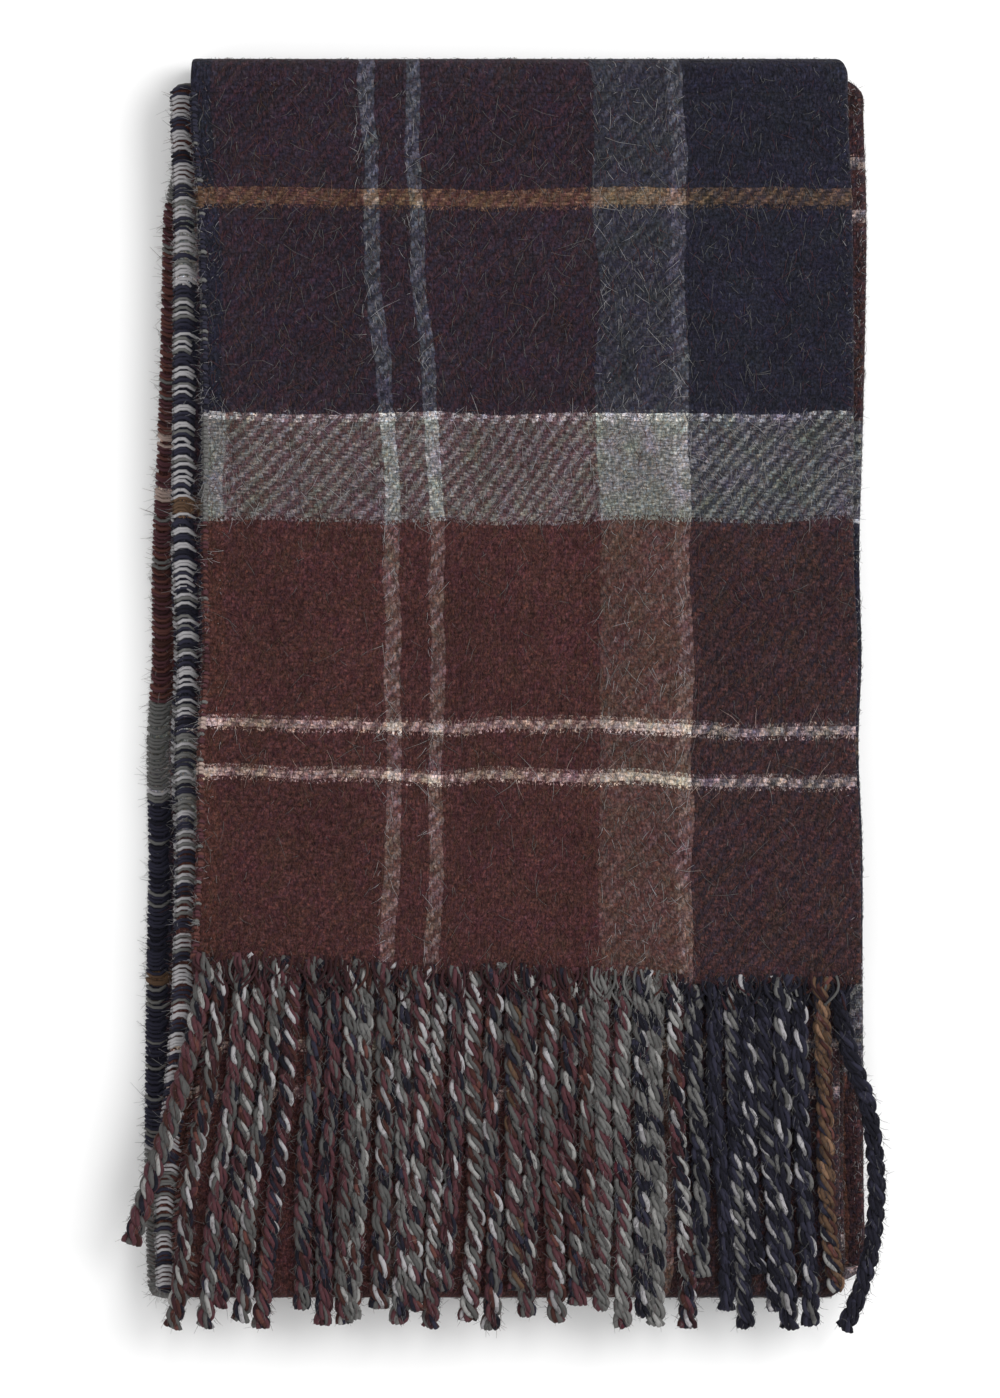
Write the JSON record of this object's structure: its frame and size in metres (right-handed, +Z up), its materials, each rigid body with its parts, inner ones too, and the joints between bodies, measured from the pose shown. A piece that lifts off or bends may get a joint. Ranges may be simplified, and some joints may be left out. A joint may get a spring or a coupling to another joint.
{
  "type": "folded fringed scarf",
  "caption": "Long brushed wool tartan scarf, doubled lengthwise and rolled flat into a bundle, with a twisted fringe on the top flap that opens over the top fold.",
  "frame": {"origin": "middle of the bounding rectangle of the underside, on the surface the bundle lies on", "axes": "+X across the bundle towards the lengthwise fold, +Y along the bundle towards the top fold, +Z up"},
  "size_m": [0.1622, 0.2935, 0.0185],
  "materials": {
    "tartan_twill": "brushed 2/2 twill, matte, in maroon, rust brown, navy, grey and ochre",
    "twisted_fringe": "two-ply twisted wool strands, marled, matte"
  },
  "bodies": {
    "bundle": {"base_corner_liner": "tartan_twill", "base_corner_outer": "tartan_twill", "base_side_fold": "tartan_twill", "base_under_sheet": "tartan_twill", "base_upper_sheet": "tartan_twill", "bottom_fold_liner": "tartan_twill", "bottom_fold_outer": "tartan_twill", "core_fold_liner": "tartan_twill", "core_fold_outer": "tartan_twill", "core_fringe_under": "twisted_fringe", "core_fringe_upper": "twisted_fringe", "core_panel_side_fold": "tartan_twill", "core_panel_under_sheet": "tartan_twill", "core_panel_upper_sheet": "tartan_twill", "fourth_panel_side_fold": "tartan_twill", "fourth_panel_under_sheet": "tartan_twill", "fourth_panel_upper_sheet": "tartan_twill", "second_fold_liner": "tartan_twill", "second_fold_outer": "tartan_twill", "second_panel_side_fold": "tartan_twill", "second_panel_under_sheet": "tartan_twill", "second_panel_upper_sheet": "tartan_twill", "third_fold_liner": "tartan_twill", "third_fold_outer": "tartan_twill", "third_panel_side_fold": "tartan_twill", "third_panel_under_sheet": "tartan_twill", "third_panel_upper_sheet": "tartan_twill"},
    "top_fold": {"top_fold_outer": "tartan_twill", "top_fold_liner": "tartan_twill"},
    "flap": {"flap_corner_liner": "tartan_twill", "flap_corner_outer": "tartan_twill", "flap_fringe_under": "twisted_fringe", "flap_fringe_upper": "twisted_fringe", "flap_side_fold": "tartan_twill", "flap_under_sheet": "tartan_twill", "flap_upper_sheet": "tartan_twill"}
  },
  "joints": [
    {"name": "fold_turn", "type": "hinge", "parent": "bundle", "child": "top_fold", "pos_m": [0, 0.14524, 0.00146], "axis": [-1, 0, 0], "range_deg": [0, 90]},
    {"name": "flap_turn", "type": "hinge", "parent": "top_fold", "child": "flap", "pos_m": [0, 0.14524, 0.01684], "axis": [-1, 0, 0], "range_deg": [0, 90]}
  ],
  "couplings": [
    {"joint": "flap_turn", "follows": "fold_turn", "ratio": 1}
  ]
}
